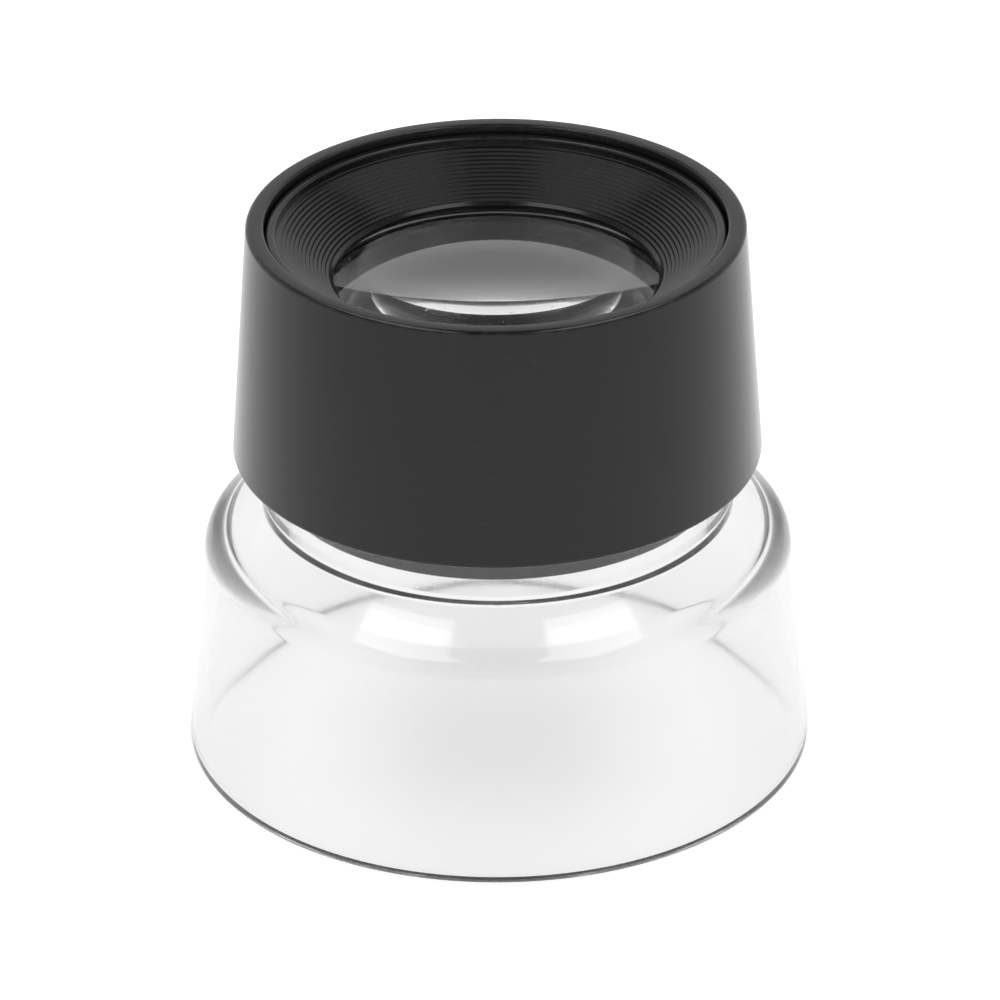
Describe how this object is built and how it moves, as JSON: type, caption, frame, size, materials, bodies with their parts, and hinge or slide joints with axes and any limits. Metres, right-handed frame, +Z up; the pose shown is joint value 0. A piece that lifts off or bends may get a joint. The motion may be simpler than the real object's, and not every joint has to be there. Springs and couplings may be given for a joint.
{
  "type": "focusing stand loupe",
  "caption": "Stand loupe for viewing film: a black screw-focusing barrel with lenses and a grooved eye funnel, on the neck of a clear tapered skirt that stands on the film.",
  "frame": {"origin": "centre of the foot rim, on the surface that the loupe stands on", "axes": "+Z up along the optical axis, from the film towards the eye; the loupe is a body of revolution about it"},
  "size_m": [0.059, 0.059, 0.053],
  "materials": {
    "clear_acrylic": "clear, polished as moulded",
    "black_plastic": "satin black, smooth as moulded",
    "matt_black": "matt black, against stray light",
    "lens_glass": "clear, polished",
    "black_rubber": "smooth, greased"
  },
  "bodies": {
    "skirt": {"clear_skirt": "clear_acrylic"},
    "lens_pack": {"upper_lens": "lens_glass", "lens_spacer": "matt_black", "lower_lens": "lens_glass"},
    "barrel": {"barrel_shell": "black_plastic", "eye_funnel": "black_plastic", "lens_cell": "matt_black", "friction_ring": "black_rubber", "lens_retaining_ring": "matt_black"}
  },
  "joints": [
    {"name": "focus_travel", "type": "slide", "parent": "skirt", "child": "lens_pack", "axis": [0, 0, 1], "range_m": [-0.0046, 0.0026]},
    {"name": "focus_turn", "type": "hinge", "parent": "lens_pack", "child": "barrel", "pos_m": [0, 0, 0.04], "axis": [0, 0, 1], "range_deg": [-180, 100]}
  ],
  "couplings": [
    {"joint": "focus_travel", "follows": "focus_turn", "m_per_rad": 0.0014324}
  ]
}
